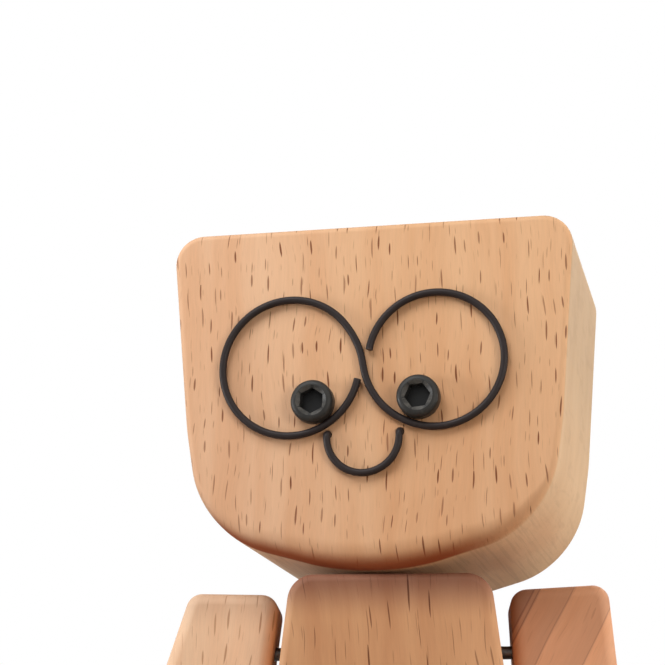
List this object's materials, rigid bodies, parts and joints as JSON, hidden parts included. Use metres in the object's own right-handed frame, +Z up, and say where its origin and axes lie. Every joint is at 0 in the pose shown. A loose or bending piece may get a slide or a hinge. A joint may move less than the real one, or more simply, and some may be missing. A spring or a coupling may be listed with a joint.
{
  "type": "wooden dashboard figure",
  "caption": "Seated beech figure with a big block head, a bent-wire face with screw-head pupils, nailed arms that swing, a head that turns and feet that shake on coil springs.",
  "frame": {"origin": "centre of the seat pad's underside, on the surface that the figure sits on", "axes": "+Z up, the figure faces -Y, +X to the viewer's right"},
  "size_m": [0.061, 0.0782, 0.0884],
  "materials": {
    "beech": "sanded and oiled",
    "dowel": "plain",
    "black_wire": "black annealed",
    "black_screw": "black oxide",
    "nail_steel": "dark",
    "bright_steel": "bright",
    "washer_fibre": "matt",
    "pad_foam": "matt foam"
  },
  "bodies": {
    "torso": {"torso_block": "beech", "seat_pad": "pad_foam", "neck_pin": "bright_steel", "neck_washer": "washer_fibre", "left_shoulder_nail": "nail_steel", "right_shoulder_nail": "nail_steel", "left_hip_dowel": "dowel", "right_hip_dowel": "dowel", "left_leg": "beech", "right_leg": "beech", "left_ankle_spring": "bright_steel", "right_ankle_spring": "bright_steel"},
    "head": {"head_block": "beech", "eye_wire": "black_wire", "nose_wire": "black_wire", "left_pupil_screw": "black_screw", "right_pupil_screw": "black_screw"},
    "left_arm": {"left_arm": "beech"},
    "right_arm": {"right_arm": "beech"},
    "left_foot": {"left_foot": "beech"},
    "right_foot": {"right_foot": "beech"}
  },
  "joints": [
    {"name": "head_turn", "type": "hinge", "parent": "torso", "child": "head", "pos_m": [0, 0, 0.0461], "axis": [0, 0, 1], "continuous": true},
    {"name": "left_arm_swing", "type": "hinge", "parent": "torso", "child": "left_arm", "pos_m": [-0.01433, 0, 0.0374], "axis": [-1, 0, 0], "range_deg": [-90, 95]},
    {"name": "right_arm_swing", "type": "hinge", "parent": "torso", "child": "right_arm", "pos_m": [0.01463, 0, 0.0374], "axis": [-1, 0, 0], "range_deg": [-90, 95]},
    {"name": "left_foot_shake", "type": "hinge", "parent": "torso", "child": "left_foot", "pos_m": [-0.01277, -0.03808, 0.011], "axis": [-0.1736, -0.9848, 0], "range_deg": [-20, 20], "stiffness_Nm_per_rad": 0.004, "deforming": ["left_ankle_spring"]},
    {"name": "right_foot_shake", "type": "hinge", "parent": "torso", "child": "right_foot", "pos_m": [0.01277, -0.03808, 0.011], "axis": [0.1736, -0.9848, 0], "range_deg": [-20, 20], "stiffness_Nm_per_rad": 0.004, "deforming": ["right_ankle_spring"]}
  ]
}
